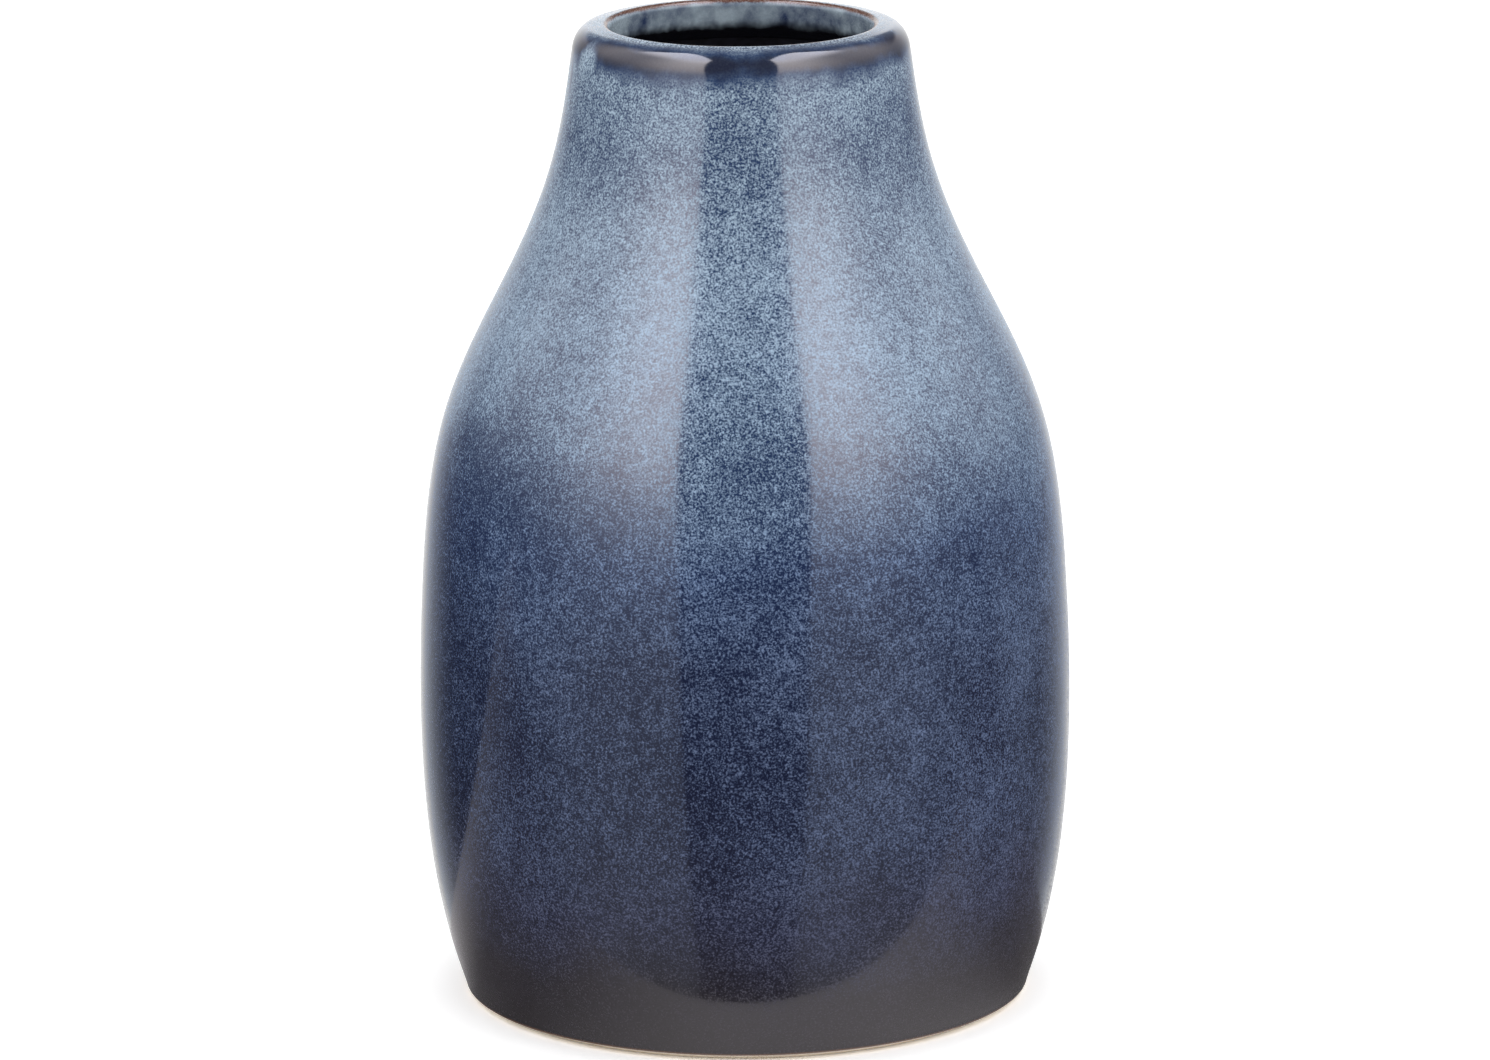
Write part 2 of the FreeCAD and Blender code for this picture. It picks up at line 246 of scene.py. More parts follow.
def flat_ring(radius, height, grit=0.0):
    """A plain ring, or the single middle point where the radius is nothing."""
    if radius < TINY:
        return np.array([[0.0, 0.0, height]])
    round_ring = zip(COS * GRIT_ROUND, SIN * GRIT_ROUND)
    uneven = np.array([noise.noise(Vector((c, s, height * GRIT_UP))) for c, s in round_ring]) * grit
    return np.stack([(radius + uneven) * COS, (radius + uneven) * SIN, np.full(SEGMENTS, height)], 1)


def ring_levels(rings, seen):
    """Where each ring lies on the unwrap, 0 to 1, by length along the section, less for hidden bands."""
    section = np.array([ring[0] for ring in rings + rings[:1]])
    lengths = np.linalg.norm(np.diff(section, axis=0), axis=1)
    shares = [1.0 if seen[0] <= i < seen[1] else HIDDEN_SHARE for i in range(len(rings))]
    levels = np.concatenate([[0], np.cumsum(lengths * shares)])
    return levels / levels[-1]


def face_edge(ring, first_vertex, level, k):
    """The side of face k that lies on a ring: its vertices and their places on the unwrap, left to right."""
    if len(ring) == 1:
        return [first_vertex], [((k + 0.5) / SEGMENTS, level)]
    vertices = [first_vertex + k, first_vertex + (k + 1) % SEGMENTS]
    return vertices, [(k / SEGMENTS, level), ((k + 1) / SEGMENTS, level)]


def turned(name, rings, seen):
    """A closed mesh through the rings in order.

    It starts and ends in middle points, or else joins its last ring to its first.
    """
    starts = [sum(len(ring) for ring in rings[:i]) for i in range(len(rings))]
    levels = ring_levels(rings, seen)
    bands = list(zip(range(len(rings)), range(1, len(rings))))
    if len(rings[0]) > 1:
        bands.append((len(rings) - 1, 0))
    faces = []
    unwrap = []
    for here, there in bands:
        for k in range(SEGMENTS):
            low, low_places = face_edge(rings[here], starts[here], levels[here], k)
            high, high_places = face_edge(rings[there], starts[there], levels[here + 1], k)
            faces.append(low + high[::-1])
            unwrap += low_places + high_places[::-1]
    mesh = bpy.data.meshes.new(name)
    mesh.from_pydata((np.concatenate(rings) * MM).tolist(), [], faces)
    mesh.uv_layers.new(name="OFBake").data.foreach_set("uv", np.array(unwrap).ravel())
    tidy = bmesh.new()
    tidy.from_mesh(mesh)
    bmesh.ops.recalc_face_normals(tidy, faces=tidy.faces)
    tidy.to_mesh(mesh)
    tidy.free()
    mesh.polygons.foreach_set("use_smooth", [True] * len(mesh.polygons))
    mesh.set_sharp_from_angle(angle=SHARP_ANGLE)
    mesh.update()
    piece = bpy.data.objects.new(name, mesh)
    bpy.context.scene.collection.objects.link(piece)
    return piece


def clay_hollow():
    """Section of the clay's hollow, from the throat to the middle of the floor."""
    line = spaced(cubic(HOLLOW), HOLLOW_STEP)
    line[-1, 0] = 0.0
    return line


def liner_face():
    """Section of the liner's own face, raised from the clay."""
    line = clay_hollow()
    along = np.gradient(line, axis=0)
    along /= np.linalg.norm(along, axis=1)[:, None]
    raised = line + LINER_COAT * np.stack([along[:, 1], -along[:, 0]], 1)
    raised[-1, 0] = 0.0
    raised[0, 1] = line[0, 1]
    return raised


def make_clay():
    rings = [flat_ring(r, z) for r, z in clay_hollow()[::-1]]
    rings += [face_ring(row, CLAY_DEPTH[row]) for row in reversed(thinned(ROWS, BACK_STEP))]
    clay_edge = FACE[0, 0] - BASE_COAT
    bevel = spaced([(clay_edge, GLAZE_LINE), (RING_OUTER, RING_BEVEL)], RING_BEVEL)
    rings += [flat_ring(r, z, RING_GRIT) for r, z in bevel]
    rings.append(flat_ring(RING_OUTER - RING_OUTER_EDGE, 0.0, RING_GRIT))
    rings.append(flat_ring((RING_OUTER + RING_INNER) / 2, 0.0))
    rings += [flat_ring(RING_INNER + RING_INNER_EDGE, 0.0), flat_ring(RING_INNER, RING_BEVEL)]
    rings += [flat_ring(RECESS_RADIUS, RECESS_HEIGHT), flat_ring(0, RECESS_HEIGHT)]
    hidden = len(clay_hollow()) + len(thinned(ROWS, BACK_STEP)) - 1
    return turned("clay_pot", rings, (hidden, len(rings)))


def make_base_coat():
    shown = [row for row in ROWS if FACE[row, 1] < BLUE_FULL and row < CREST_ROW]
    rows = shown + thinned(ROWS[shown[-1] + 1:], COVERED_STEP)
    # the coat ends above the foot in a rounded bead
    bead = [math.radians(a) for a in BEAD_ANGLES]
    clay_edge = FACE[0, 0] - BASE_COAT
    rings = [
        flat_ring(clay_edge + BASE_COAT * math.sin(a), GLAZE_LINE + BASE_COAT * (1 - math.cos(a)))
        for a in bead
    ]
    rings += [face_ring(row, BLUE_DEPTH[row]) for row in rows]
    rings += [face_ring(row, CLAY_DEPTH[row]) for row in reversed(thinned(rows, BACK_STEP))]
    return turned("base_glaze_coat", rings, (0, len(bead) + len(shown)))


def make_blue_coat():
    outside = [row for row in ROWS if row <= CREST_ROW and FACE[row, 1] > BLUE_START]
    inside = [row for row in ROWS if row > CREST_ROW and FACE[row, 1] > BLUE_MOUTH_END]
    rows = outside + inside
    rings = [face_ring(row) for row in rows]
    rings += [face_ring(row, BLUE_DEPTH[row]) for row in reversed(thinned(rows, BLUE_BACK_STEP))]
    return turned("blue_glaze_coat", rings, (0, len(rows) - 1))


def make_liner():
    rings = [flat_ring(r, z) for r, z in liner_face()[::-1]]
    rings += [flat_ring(r, z) for r, z in clay_hollow()[::COVERED_STEP]]
    rings.append(flat_ring(0, HOLLOW[-1][1]))
    return turned("liner_coat", rings, (0, len(liner_face()) - 1))


def make_recess_coat():
    radius = RECESS_RADIUS
    bottom = RECESS_HEIGHT - RECESS_COAT
    inset, lift = RECESS_COAT_ROUND
    rings = [flat_ring(0, bottom), flat_ring(radius / 2, bottom), flat_ring(radius - inset, bottom)]
    rings += [flat_ring(radius - lift, bottom + lift), flat_ring(radius, RECESS_HEIGHT)]
    rings.append(flat_ring(0, RECESS_HEIGHT))
    return turned("foot_recess_coat", rings, (0, 3))


# ---- materials -----------------------------------------------------------------------------------

WHITE = [1.0, 1.0, 1.0, 1.0]


def srgb(red, green, blue):
    """A colour given as it looks, 0 to 255, as the linear colour that a shader takes."""
    channels = [value / 255 for value in (red, green, blue)]
    return [c / 12.92 if c <= 0.04045 else ((c + 0.055) / 1.055) ** 2.4 for c in channels] + [1.0]


class Graph:
    """Short calls for building a node tree."""

    def __init__(self, tree):
        self.tree = tree
        tree.nodes.clear()

    def node(self, kind, inputs=None, **settings):
        """A node with its settings, and its inputs by socket name."""
        made = self.tree.nodes.new(kind)
        for name, value in settings.items():
            setattr(made, name, value)
        for name, value in (inputs or {}).items():
            self.feed(made.inputs[name], value)
        return made

    def feed(self, socket, value):
        """Links the socket to another one, or sets it to a plain value."""
        if isinstance(value, bpy.types.NodeSocket):
            self.tree.links.new(value, socket)
        else:
            socket.default_value = value

    def math(self, operation, *values, clamp=False):
        made = self.tree.nodes.new("ShaderNodeMath")
        made.operation = operation
        made.use_clamp = clamp
        for socket, value in zip(made.inputs, values):
            self.feed(socket, value)
        return made.outputs[0]

    def vector(self, operation, *values, output="Vector"):
        made = self.tree.nodes.new("ShaderNodeVectorMath")
        made.operation = operation
        for socket, value in zip(made.inputs, values):
            self.feed(socket, value)
        return made.outputs[output]

    def scaled(self, value, factor):
        """A vector times a number."""
        made = self.tree.nodes.new("ShaderNodeVectorMath")
        made.operation = "SCALE"
        self.feed(made.inputs[0], value)
        made.inputs["Scale"].default_value = factor
        return made.outputs[0]

    def smooth(self, value, low, high, start=0.0, end=1.0):
        """A smooth change from start, where the value is low or less, to end, where it is high or more."""
        made = self.node("ShaderNodeMapRange", {"Value": value}, interpolation_type="SMOOTHSTEP")
        made.inputs["From Min"].default_value = low
        made.inputs["From Max"].default_value = high
        made.inputs["To Min"].default_value = start
        made.inputs["To Max"].default_value = end
        return made.outputs["Result"]

    def noise(self, where, feature, detail=2.0, rough=0.5):
        """Noise whose features are about this many millimetres wide, centred on nought."""
        made = self.node("ShaderNodeTexNoise", {"Vector": where, "Detail": detail, "Roughness": rough})
        made.inputs["Scale"].default_value = 1 / feature
        return self.math("SUBTRACT", made.outputs["Fac"], 0.5)

    def ramp(self, value, stops):
        """Colours or numbers against a value, each stop given as (value, colour or number)."""
        low, high = stops[0][0], stops[-1][0]
        share = self.math("DIVIDE", self.math("SUBTRACT", value, low), high - low)
        made = self.node("ShaderNodeValToRGB", {"Fac": share})
        made.color_ramp.interpolation = "LINEAR"
        elements = made.color_ramp.elements
        while len(elements) < len(stops):
            elements.new(0.5)
        for element, (at, colour) in zip(elements, stops):
            element.position = (at - low) / (high - low)
            element.color = colour if isinstance(colour, list) else [colour] * 3 + [1.0]
        return made.outputs["Color"]

    def mix(self, share, first, second):
        """Colours mixed. The node keeps its colour sockets at these places, after those for other types."""
        made = self.node("ShaderNodeMix", data_type="RGBA")
        for place, value in ((0, share), (6, first), (7, second)):
            self.feed(made.inputs[place], value)
        return made.outputs[2]

    def mix_number(self, share, first, second):
        """Numbers mixed, which the same node takes at other places."""
        made = self.node("ShaderNodeMix", data_type="FLOAT")
        for place, value in ((0, share), (2, first), (3, second)):
            self.feed(made.inputs[place], value)
        return made.outputs[0]


def new_material(name):
    material = bpy.data.materials.new(name)
    material.use_nodes = True
    return material, Graph(material.node_tree)


def point_in_mm(graph):
    """The shaded point in the object's own coordinates."""
    return graph.scaled(graph.node("ShaderNodeTexCoord").outputs["Object"], 1 / MM)


def section_place(graph, point):
    """The point's place in the vase's section: its radius and its height."""
    parts = graph.node("ShaderNodeSeparateXYZ", {"Vector": point})
    across = graph.node("ShaderNodeCombineXYZ", {"X": parts.outputs["X"], "Y": parts.outputs["Y"]})
    radius = graph.vector("LENGTH", across.outputs[0], output="Value")
    return radius, parts.outputs["Z"]


def ring_distance(graph, radius, height, ring):
    """Distance of the section point from a ring (radius, height)."""
    flat = graph.node("ShaderNodeCombineXYZ", {"X": radius, "Y": height}).outputs[0]
    return graph.vector("DISTANCE", flat, (ring[0], ring[1], 0), output="Value")


# The glaze's two colours, and the share that the pale flecks cover, each against the height.
LIGHT_SPECKS = (
    (0, srgb(54, 49, 56)), (14, srgb(60, 57, 66)), (30, srgb(82, 88, 118)),
    (48, srgb(92, 107, 142)), (80, srgb(100, 118, 153)), (104, srgb(118, 142, 180)),
    (125, srgb(150, 175, 200)), (200, srgb(168, 189, 206)),
)
DARK_SPECKS = (
    (0, srgb(38, 34, 37)), (14, srgb(37, 34, 40)), (30, srgb(30, 31, 46)), (60, srgb(21, 26, 48)),
    (80, srgb(21, 28, 53)), (104, srgb(26, 38, 69)), (125, srgb(38, 54, 86)), (200, srgb(44, 61, 94)),
)
COVER = (
    (0, 0.22), (30, 0.24), (60, 0.17), (80, 0.2), (92, 0.2), (104, 0.14), (118, 0.22), (128, 0.34),
    (145, 0.42), (165, 0.4), (174, 0.28), (180, 0.28), (190, 0.39), (200, 0.4),
)
# Four numbers in a row, here and below, are a smooth change: from, to, value before, value after.
# How wide each layer of the speckle is, and how much it moves the share.
CLOUDS = (26, 0.45)
PATCHES = (7, 0.4)
CLUSTERS = (1.7, 0.6)
FLECKS = (0.4, 2.6)
CLOUD_LIFT = 18
# Low on the vase: lighter towards the right, partly uneven glaze and partly painted shade, and darker at the
# far left edge as painted shade.
LEAN_AND_SHADE_PER_MM = 0.0012
LEFT_EDGE_SHADE = (-68, -50, -0.12, 0.0)
LEAN_AND_SHADE_FADE = (95, 125, 1.0, 0.0)


def speckle(graph, point, radius, height):
    """How pale each fleck is, 0 to 1: fine flecks in loose clusters, thicker where the coat pooled."""
    clouds = graph.noise(point, CLOUDS[0], 2)
    patches = graph.noise(point, PATCHES[0], 3, 0.6)
    clusters = graph.noise(point, CLUSTERS[0], 2)
    flecks = graph.noise(point, FLECKS[0], 1.5, 0.6)
    lifted = graph.math("ADD", height, graph.math("MULTIPLY", clouds, CLOUD_LIFT))
    # low on the vase the pale flecks thin out towards the left, partly uneven glaze and partly painted shade,
    # and the far left edge is darker as painted shade
    across = graph.node("ShaderNodeSeparateXYZ", {"Vector": point}).outputs["X"]
    lean_and_shade = graph.math("MULTIPLY_ADD", across, LEAN_AND_SHADE_PER_MM, graph.smooth(across, *LEFT_EDGE_SHADE))
    lean_and_shade = graph.math("MULTIPLY", lean_and_shade, graph.smooth(height, *LEAN_AND_SHADE_FADE))
    share = graph.math("ADD", lean_and_shade, graph.ramp(lifted, COVER))
    share = graph.math("MULTIPLY_ADD", clouds, CLOUDS[1], share)
    share = graph.math("MULTIPLY_ADD", patches, PATCHES[1], share)
    share = graph.math("MULTIPLY_ADD", clusters, CLUSTERS[1], share)
    share = graph.math("MULTIPLY_ADD", flecks, FLECKS[1], share, clamp=True)
    return share, lifted, patches


# The lip's outer corner and the crest, as rings (radius, height), and how far each is bare or dark.
CORNER_RING = (33.6, 197.4)
CORNER_BARE = (2.0, 6.4, 1.0, 0.0)
CORNER_DARK = (0.6, 3.4, 0.7, 0.0)
BARE_LOSS = 0.92
CREST_RING = (27.0, 199.9)
CREST_BREAK = (0.3, 0.9, 0.9, 0.0)
FOOT_BREAK = (1.25, 1.8, 0.8, 0.0)
# One run of dark glaze and one pale patch beside it, at the left under the lip.
RUN = (-33.7, -6.9, 190.0)
RUN_EDGE = (0.4, 1.7, 0.1, 1.0)
RUN_SQUASH = 0.25
PATCH = (-30.9, -15.0, 195.6)
PATCH_EDGE = (0.4, 5.0, 1.0, 0.0)
PATCH_LIFT = 5.0
PATCH_GAIN = 0.2
# The mouth starts inside a steep cone just in from the crest, and its glaze darkens down to the throat.
MOUTH_TAPER = 0.116
MOUTH_EDGE = (49.6, 50.0, 1.0, 0.0)
MOUTH_DARK = (193.8, 196.2, 1.0, 0.0)
# How far the patchy noise pushes each border about.
CORNER_WANDER = 6.0
PATCH_WANDER = 9.0
MOUTH_WANDER = 3.0
CREST_WANDER = 1.2


def lip_edges(graph, point, radius, height, patches):
    """Uneven distance from the lip's outer corner, pushed out by the pale patch, and the patch's share."""
    corner = ring_distance(graph, radius, height, CORNER_RING)
    corner = graph.math("MULTIPLY_ADD", patches, CORNER_WANDER, corner)
    patch = graph.vector("DISTANCE", point, PATCH, output="Value")
    patch = graph.smooth(graph.math("MULTIPLY_ADD", patches, PATCH_WANDER, patch), *PATCH_EDGE)
    return graph.math("MULTIPLY_ADD", patch, PATCH_LIFT, corner), patch


def outside_glaze(graph, point, radius, height, share, lifted, patches):
    """Flecks over navy by height. At the lip's outer corner they run off and the dark base shows."""
    corner, patch = lip_edges(graph, point, radius, height, patches)
    bare = graph.smooth(corner, *CORNER_BARE)
    share = graph.math("MULTIPLY", share, graph.math("MULTIPLY_ADD", bare, -BARE_LOSS, 1.0))
    flat = graph.vector("MULTIPLY", point, (1.0, 1.0, RUN_SQUASH))
    run = graph.vector("DISTANCE", flat, (RUN[0], RUN[1], RUN[2] * RUN_SQUASH), output="Value")
    share = graph.math("MULTIPLY", share, graph.smooth(run, *RUN_EDGE))
    share = graph.math("MULTIPLY_ADD", patch, PATCH_GAIN, share, clamp=True)
    colour = graph.mix(share, graph.ramp(lifted, DARK_SPECKS), graph.ramp(lifted, LIGHT_SPECKS))
    return graph.mix(graph.smooth(corner, *CORNER_DARK), colour, srgb(30, 24, 28)), share


def mouth_glaze(graph, radius, height, colour, share, patches):
    """Inside the mouth the coat is pale, and ends softly over the dark liner."""
    cone = graph.math("MULTIPLY_ADD", height, MOUTH_TAPER, radius)
    inside = graph.smooth(cone, *MOUTH_EDGE)
    mottle = graph.math("MULTIPLY_ADD", patches, 3.0, 0.62, clamp=True)
    colour = graph.mix(inside, colour, graph.mix(mottle, srgb(60, 74, 108), srgb(176, 192, 204)))
    wavy = graph.math("MULTIPLY_ADD", patches, MOUTH_WANDER, height)
    dark = graph.math("MULTIPLY", inside, graph.smooth(wavy, *MOUTH_DARK))
    colour = graph.mix(dark, colour, srgb(14, 14, 19))
    return colour, graph.math("MULTIPLY", share, graph.math("SUBTRACT", 1.0, dark))


def glaze_colour(graph, point, radius, height):
    """The reactive glaze: pale flecks over navy by height, dark or brown where the coats run thin."""
    share, lifted, patches = speckle(graph, point, radius, height)
    colour, share = outside_glaze(graph, point, radius, height, share, lifted, patches)
    colour, share = mouth_glaze(graph, radius, height, colour, share, patches)
    # it breaks to brown on the crest, and at the glaze line just above the foot
    crest = ring_distance(graph, radius, height, CREST_RING)
    crest = graph.math("MULTIPLY_ADD", patches, CREST_WANDER, crest)
    colour = graph.mix(graph.smooth(crest, *CREST_BREAK), colour, srgb(96, 56, 30))
    return graph.mix(graph.smooth(height, *FOOT_BREAK), colour, srgb(128, 92, 66)), share


# How rough each surface is, and how high its relief stands. The flecks add to the glass's roughness.
GLASS_ROUGHNESS = 0.06
FLECK_ROUGHNESS = 0.42
FLECK_RELIEF = 0.01
GLAZE_IOR = 1.5
LINER_ROUGHNESS = 0.4
LINER_IOR = 1.3
CLAY_ROUGHNESS = 0.82
CLAY_RELIEF = 0.08


def glaze_material(name):
    material, graph = new_material(name)
    point = point_in_mm(graph)
    radius, height = section_place(graph, point)
    colour, share = glaze_colour(graph, point, radius, height)
    # the pale flecks are crystals, rougher than the dark glass around them
    bump = graph.node("ShaderNodeBump", {"Height": share, "Strength": 0.15, "Distance": FLECK_RELIEF * MM})
    shader = graph.node("ShaderNodeBsdfPrincipled", {
        "Base Color": colour,
        "Roughness": graph.math("MULTIPLY_ADD", share, FLECK_ROUGHNESS, GLASS_ROUGHNESS),
        "IOR": GLAZE_IOR,
        "Normal": bump.outputs[0],
    })
    graph.node("ShaderNodeOutputMaterial", {"Surface": shader.outputs[0]})
    return material


def liner_material(name):
    material, graph = new_material(name)
    point = point_in_mm(graph)
    specks = graph.noise(point, 1.2, 2)
    clouds = graph.noise(point, 18, 2)
    share = graph.math("MULTIPLY_ADD", specks, 1.6, graph.math("ADD", clouds, 0.35), clamp=True)
    colour = graph.mix(share, srgb(12, 12, 16), srgb(30, 30, 40))
    shader = graph.node("ShaderNodeBsdfPrincipled", {
        "Base Color": colour,
        "Roughness": graph.math("MULTIPLY_ADD", specks, 0.1, LINER_ROUGHNESS),
        "IOR": LINER_IOR,
    })
    graph.node("ShaderNodeOutputMaterial", {"Surface": shader.outputs[0]})
    return material


def clay_material(name):
    material, graph = new_material(name)
    point = point_in_mm(graph)
    grit = graph.noise(point, 0.35, 3, 0.7)
    stain = graph.noise(point, 5, 3)
    share = graph.math("MULTIPLY_ADD", grit, 1.4, graph.math("ADD", stain, 0.5), clamp=True)
    colour = graph.mix(share, srgb(234, 214, 188), srgb(250, 240, 222))
    # a few faint iron spots, where the noise peaks
    iron = graph.smooth(graph.noise(point, 0.7, 1), 0.19, 0.24, 0.0, 0.5)
    colour = graph.mix(iron, colour, srgb(150, 106, 70))
    bump = graph.node("ShaderNodeBump", {"Height": grit, "Strength": 0.7, "Distance": CLAY_RELIEF * MM})
    shader = graph.node("ShaderNodeBsdfPrincipled", {
        "Base Color": colour,
        "Roughness": graph.math("MULTIPLY_ADD", grit, 0.15, CLAY_ROUGHNESS),
        "Normal": bump.outputs[0],
    })
    graph.node("ShaderNodeOutputMaterial", {"Surface": shader.outputs[0]})
    return material


# ---- studio --------------------------------------------------------------------------------------

# The studio is in metres and degrees. A floor's half width, and how far apart the stacked floors lie.
FLOOR_REACH = 30
FLOOR_GAP = 0.00002
SHOWN_ALBEDO = 1.35
BOUNCE_ALBEDO = 0.9
# The table that the glaze reflects: where it ends, and its glow by the angle from its brightest direction.
# The glow is painted light for the lit table, and it dims at the sides as painted shade beside the vase.
TABLE_FRONT = -0.0745
TABLE_BACK = 0.03
TABLE_COLOUR = [1.0, 0.96, 0.98, 1.0]
TABLE_TURN = 12.0
TABLE_FRONT_GLOW_SHADED_AT_SIDES = (12, 72, 1.35, 0.15)
TABLE_BACK_GLOW = (88, 125, 0.0, 0.6)


def make_floor(name, low, high, albedo):
    """A flat white floor between two corners at the foot's level."""
    mesh = bpy.data.meshes.new(name)
    corners = [(low[0], low[1], 0), (high[0], low[1], 0), (high[0], high[1], 0), (low[0], high[1], 0)]
    mesh.from_pydata(corners, [], [(0, 1, 2, 3)])
    floor = bpy.data.objects.new(name, mesh)
    bpy.context.scene.collection.objects.link(floor)
    material, graph = new_material(name)
    shader = graph.node("ShaderNodeBsdfDiffuse", {"Color": [albedo, albedo, albedo, 1]})
    graph.node("ShaderNodeOutputMaterial", {"Surface": shader.outputs[0]})
    mesh.materials.append(material)
    return floor


def make_floors():
    """The camera sees an overexposed white floor, and matt surfaces get light from another just under it."""
    low, high = (-FLOOR_REACH, -FLOOR_REACH), (FLOOR_REACH, FLOOR_REACH)
    shown = make_floor("floor_shown", low, high, SHOWN_ALBEDO)
    shown.visible_diffuse = False
    shown.visible_glossy = False
    shown.visible_shadow = False
    bounce = make_floor("floor_bounce", low, high, BOUNCE_ALBEDO)
    bounce.visible_camera = False
    bounce.visible_glossy = False
    bounce.location.z = -FLOOR_GAP


def angle_from_camera(graph, x, y):
    """Degrees round the vase from the camera's side, negative to the left."""
    return graph.math("DEGREES", graph.math("ARCTAN2", x, graph.math("MULTIPLY", y, -1.0)))


def make_table():
    """The table as the glaze reflects it: a glowing sheet of painted light, bright in front and dim at the
    sides as painted shade, ending just before the vase.
    """
    table = make_floor("table_reflected", (-FLOOR_REACH, TABLE_FRONT), (FLOOR_REACH, TABLE_BACK), 1.0)
    table.visible_camera = False
    table.visible_diffuse = False
    table.visible_shadow = False
    table.location.z = -2 * FLOOR_GAP
    graph = Graph(table.data.materials[0].node_tree)
    place = graph.node("ShaderNodeTexCoord").outputs["Object"]
    parts = graph.node("ShaderNodeSeparateXYZ", {"Vector": place})
    across = angle_from_camera(graph, parts.outputs["X"], parts.outputs["Y"])
    aside = graph.math("ABSOLUTE", graph.math("SUBTRACT", across, TABLE_TURN))
    # painted shade: the glow falls off at the sides, where the vase keeps light off the table
    front = graph.smooth(aside, *TABLE_FRONT_GLOW_SHADED_AT_SIDES)
    painted_glow = graph.math("ADD", front, graph.smooth(aside, *TABLE_BACK_GLOW))
    glow = graph.node("ShaderNodeEmission", {"Color": TABLE_COLOUR, "Strength": painted_glow})
    graph.node("ShaderNodeOutputMaterial", {"Surface": glow.outputs[0]})


# The softboxes' brightness and tint by the angle above the table. The white background's brightness is one.
SOFTBOX = (
    (-90, 0.2), (-45, 0.35), (-20, 0.45), (-8, 0.6), (0, 1.1), (5, 2.0), (10, 2.6),
    (20, 4.4), (30, 5.6), (42, 6.6), (52, 9.0), (90, 9.3),
)
SOFTBOX_TINT = (
    (-10, [0.94, 1.0, 1.1, 1]), (20, [1.08, 0.98, 0.95, 1]),
    (42, [1.06, 0.98, 0.97, 1]), (60, [1.0, 0.98, 1.08, 1]),
)
# The dark gap between them: half its angle, how that widens upwards, and its half width overhead.
GAP_ANGLE = 23.5
GAP_WIDENING = 0.12
GAP_OVERHEAD = 0.26
GAP_BLUR = 0.012
# Where each softbox ends, by the angle from the camera's side, and where the left one changes over.
LEFT_END_LOW = (42, 104, 1.0, 0.0)
RIGHT_END_FRONT = (38, 88, 1.0, 0.35)
RIGHT_END_BACK = (110, 150, 1.0, 0.0)
LEFT_CHANGE = (-22, 28)
OVERHEAD_FROM = (45, 62)
OVERHEAD_END = 0.25
OVERHEAD_BLUR = 0.03
# The white backdrop behind the vase.
BACKDROP_SIDES = (122, 176, 0.03, 1.15)
BACKDROP_TOP = (0.24, 0.34, 1.0, 0.2)
BACKDROP_FOOT = (-0.1, 0.15, 1.0, 1.45)
# The even room that matt surfaces see.
AMBIENT = 0.9
AMBIENT_RISE = (-0.2, 1.0, AMBIENT, AMBIENT * 1.5)
AMBIENT_SIDE = 0.1


def softboxes(graph, x, y, aside, rise):
    """The softboxes' light by direction, and where they stand clear of the gap."""
    # the gap widens a little upwards, and runs on overhead as an even strip
    edge = graph.math("RADIANS", graph.math("MULTIPLY_ADD", rise, GAP_WIDENING, GAP_ANGLE))
    level = graph.math("COSINE", graph.math("RADIANS", rise))
    low_gap = graph.math("MULTIPLY", graph.math("SINE", edge), level)
    gap = graph.math("MAXIMUM", low_gap, GAP_OVERHEAD)
    clear = graph.math("SUBTRACT", graph.math("ABSOLUTE", x), gap)
    lit = graph.smooth(clear, -GAP_BLUR, GAP_BLUR)
    # low down the softboxes end beside the vase, and overhead a little behind it
    low_left_end = graph.smooth(aside, *LEFT_END_LOW)
    front, back = graph.smooth(aside, *RIGHT_END_FRONT), graph.smooth(aside, *RIGHT_END_BACK)
    right_end = graph.math("MULTIPLY", front, back)
    left_end = graph.mix_number(graph.smooth(rise, *LEFT_CHANGE), low_left_end, right_end)
    side_end = graph.mix_number(graph.math("GREATER_THAN", x, 0.0), left_end, right_end)
    behind = graph.smooth(y, OVERHEAD_END - OVERHEAD_BLUR, OVERHEAD_END + OVERHEAD_BLUR, 1.0, 0.0)
    reach = graph.mix_number(graph.smooth(rise, *OVERHEAD_FROM), side_end, behind)
    boxes = graph.math("MULTIPLY", graph.math("MULTIPLY", graph.ramp(rise, SOFTBOX), reach), lit)
    return boxes, lit


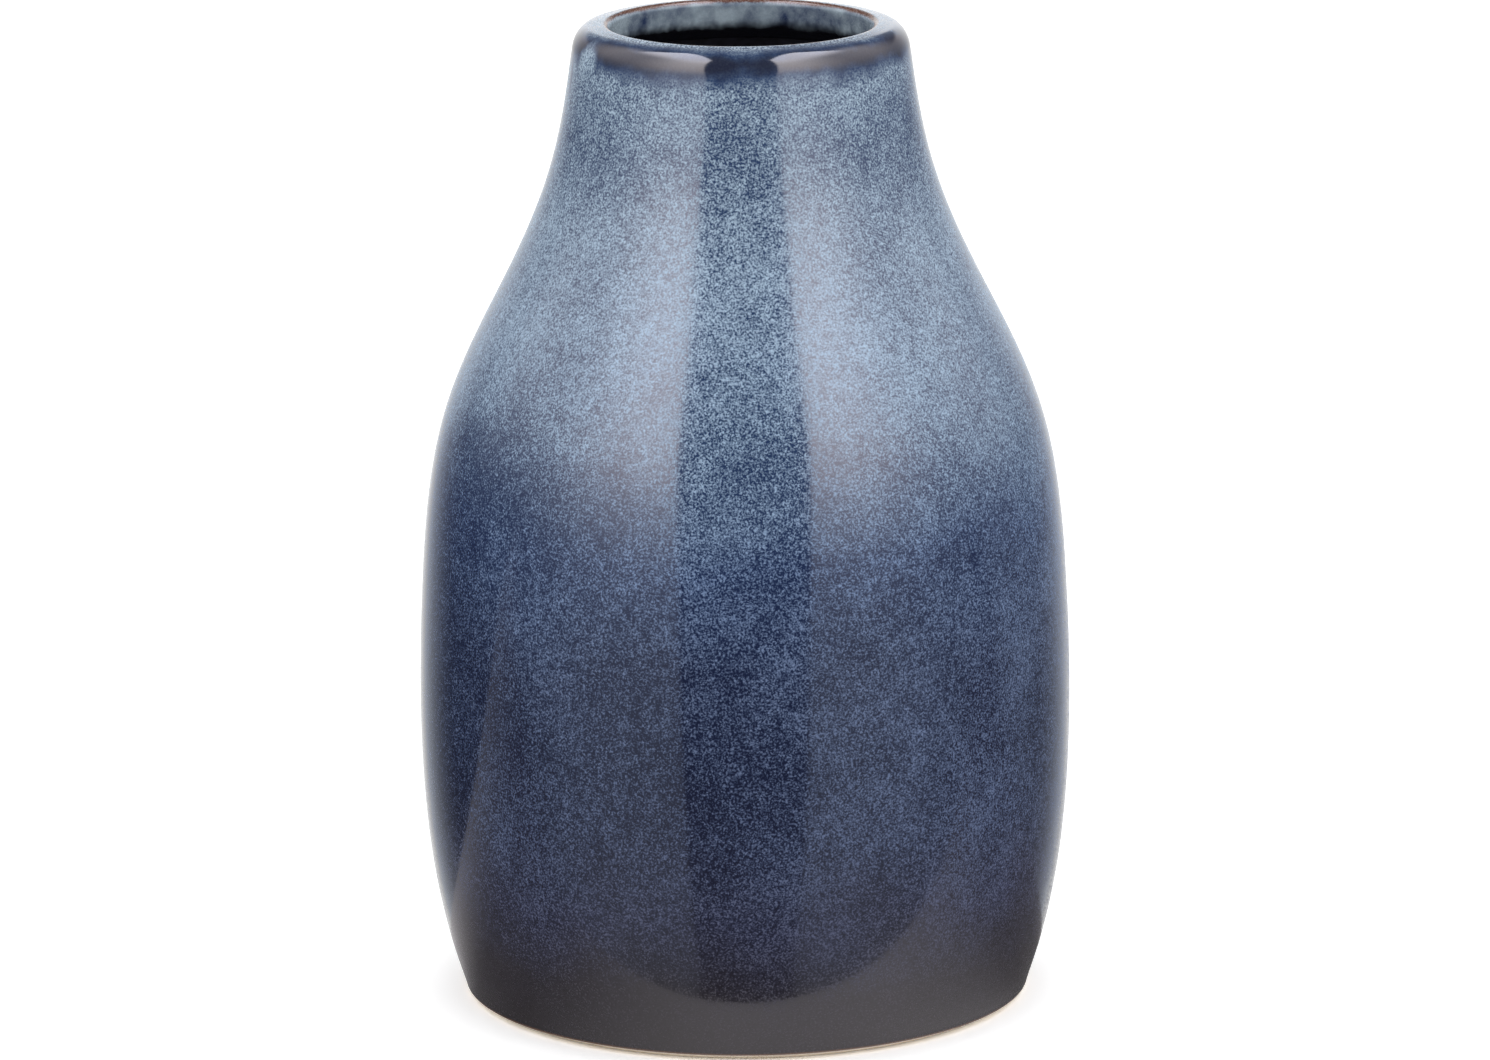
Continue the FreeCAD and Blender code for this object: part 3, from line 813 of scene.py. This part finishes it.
def make_world():
    """A white room: a tall softbox on each side of the camera that bends overhead, and a dark gap between."""
    world = bpy.data.worlds.new("studio")
    bpy.context.scene.world = world
    world.use_nodes = True
    world.cycles.sampling_method = "NONE"
    graph = Graph(world.node_tree)
    direction = graph.node("ShaderNodeTexCoord").outputs["Generated"]
    parts = graph.node("ShaderNodeSeparateXYZ", {"Vector": direction})
    x, y, z = (parts.outputs[axis] for axis in "XYZ")
    aside = angle_from_camera(graph, graph.math("ABSOLUTE", x), y)
    rise = graph.math("DEGREES", graph.math("ARCSINE", z))
    boxes, lit = softboxes(graph, x, y, aside, rise)
    backdrop = graph.math("MULTIPLY", graph.smooth(z, *BACKDROP_TOP), graph.smooth(z, *BACKDROP_FOOT))
    room = graph.math("MULTIPLY", graph.smooth(aside, *BACKDROP_SIDES), backdrop)
    total = graph.math("ADD", boxes, room)
    # the glaze's shine sees the lamps; matt surfaces and the camera see an even white room
    sky = graph.math("MULTIPLY_ADD", x, AMBIENT_SIDE, graph.smooth(z, *AMBIENT_RISE))
    rays = graph.node("ShaderNodeLightPath").outputs
    level = graph.mix_number(rays["Is Diffuse Ray"], total, sky)
    level = graph.mix_number(rays["Is Camera Ray"], level, 1.0)
    tinted = graph.math("MULTIPLY", rays["Is Glossy Ray"], lit)
    tint = graph.mix(tinted, WHITE, graph.ramp(rise, SOFTBOX_TINT))
    light = graph.node("ShaderNodeBackground", {"Color": tint, "Strength": level})
    graph.node("ShaderNodeOutputWorld", {"Surface": light.outputs[0]})


# The camera: its lens in millimetres, its place and aim in metres, and its roll and clip distances.
LENS = 207.8
SENSOR_WIDTH = 36.0
CAMERA_PLACE = (0.0, -1.7007, 0.5001)
CAMERA_AIM = (0.0002, 0, 0.0953)
CAMERA_ROLL = math.radians(-0.36)
CLIP = (0.05, 50)


def make_camera():
    """A long lens 1.75 m away, looking 13 degrees down at the middle of the vase."""
    data = bpy.data.cameras.new("camera")
    data.lens = LENS
    data.sensor_width = SENSOR_WIDTH
    data.clip_start, data.clip_end = CLIP
    camera = bpy.data.objects.new("camera", data)
    bpy.context.scene.collection.objects.link(camera)
    camera.location = CAMERA_PLACE
    look = (Vector(CAMERA_AIM) - camera.location).to_track_quat("-Z", "Y").to_matrix().to_4x4()
    roll = Matrix.Rotation(CAMERA_ROLL, 4, "Z")
    camera.matrix_world = Matrix.Translation(camera.location) @ look @ roll
    bpy.context.scene.camera = camera


def main():
    glaze = glaze_material("reactive_glaze")
    liner = liner_material("liner_glaze")
    pieces = (
        (make_clay(), "stoneware_body", "stoneware", clay_material("bare_clay")),
        (make_base_coat(), "outer_base_glaze", "dark_glaze", glaze),
        (make_blue_coat(), "blue_top_glaze", "blue_glaze", glaze),
        (make_liner(), "liner_glaze", "liner_glaze", liner),
        (make_recess_coat(), "foot_recess_glaze", "dark_glaze", liner),
    )
    for piece, node, slot, material in pieces:
        piece.data.materials.append(material)
        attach(piece, "root")
        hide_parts(node)
    make_floors()
    make_table()
    make_world()
    make_camera()
    bpy.context.scene.view_settings.view_transform = "Standard"


main()
